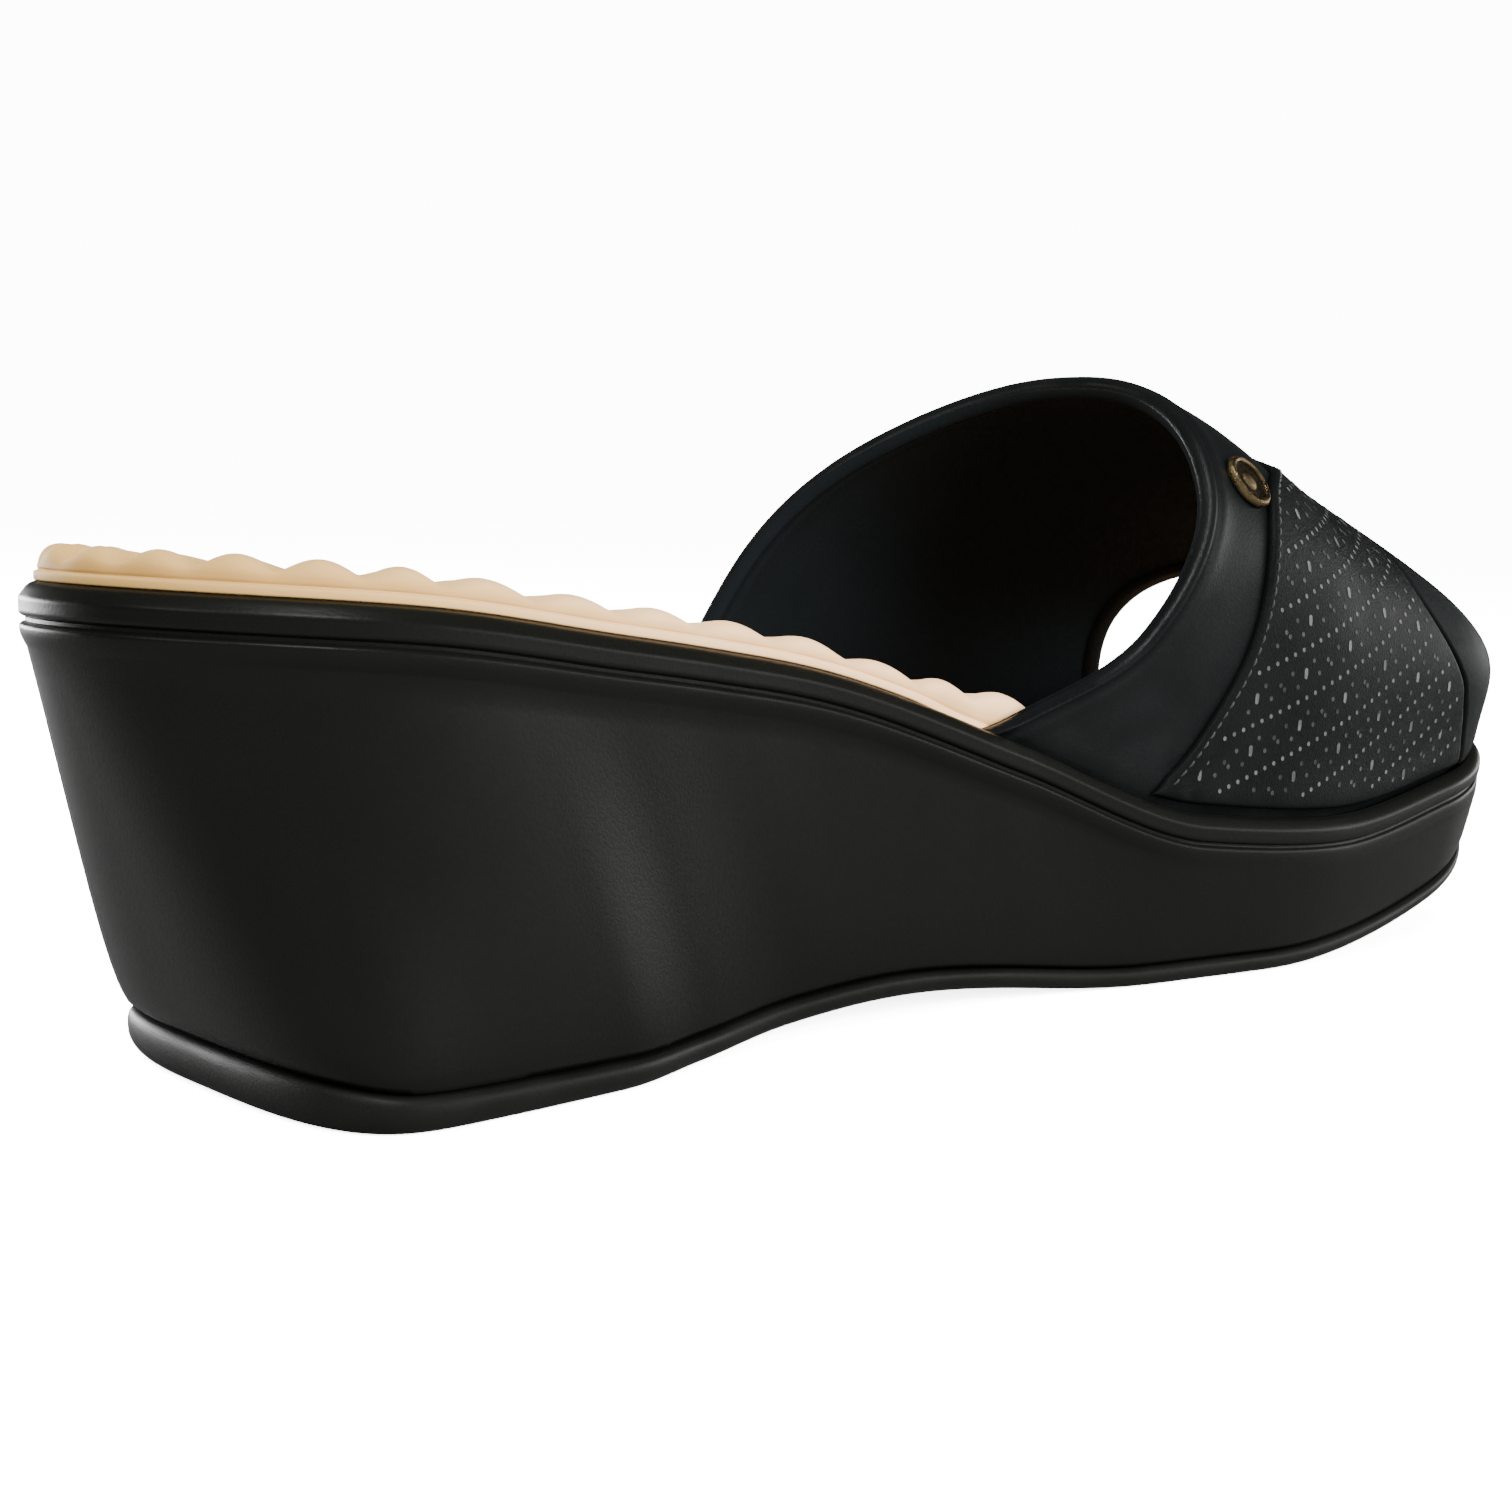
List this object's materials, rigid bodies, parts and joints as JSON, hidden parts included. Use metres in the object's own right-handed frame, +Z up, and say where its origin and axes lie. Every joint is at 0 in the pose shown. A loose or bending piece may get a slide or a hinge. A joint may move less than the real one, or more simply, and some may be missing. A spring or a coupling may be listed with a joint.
{
  "type": "orthopedic wedge mule clog",
  "caption": "Open-toe, open-back wedge mule with a moulded wedge, a thin rubber tread, a padded footbed with a lobed edge, and a leather vamp with bands and a round stud.",
  "frame": {"origin": "centre of the bounding box, on the floor", "axes": "+X to the toe, +Y to the lateral side of this left shoe, +Z up"},
  "size_m": [0.2652, 0.0845, 0.0907],
  "materials": {
    "tread_rubber": "black rubber, satin",
    "wedge_foam": "black moulded polyurethane, semi-matt",
    "footbed_fabric": "beige padded lining, soft",
    "smooth_leather": "black smooth leather, satin",
    "perforated_leather": "black leather with pinholes, satin",
    "stud_bronze": "bronze plated, worn satin"
  },
  "bodies": {
    "root": {"outsole": "tread_rubber", "wedge": "wedge_foam", "footbed": "footbed_fabric", "upper": "smooth_leather", "vamp_panel": "perforated_leather", "toe_band": "smooth_leather", "stud": "stud_bronze"}
  },
  "joints": []
}
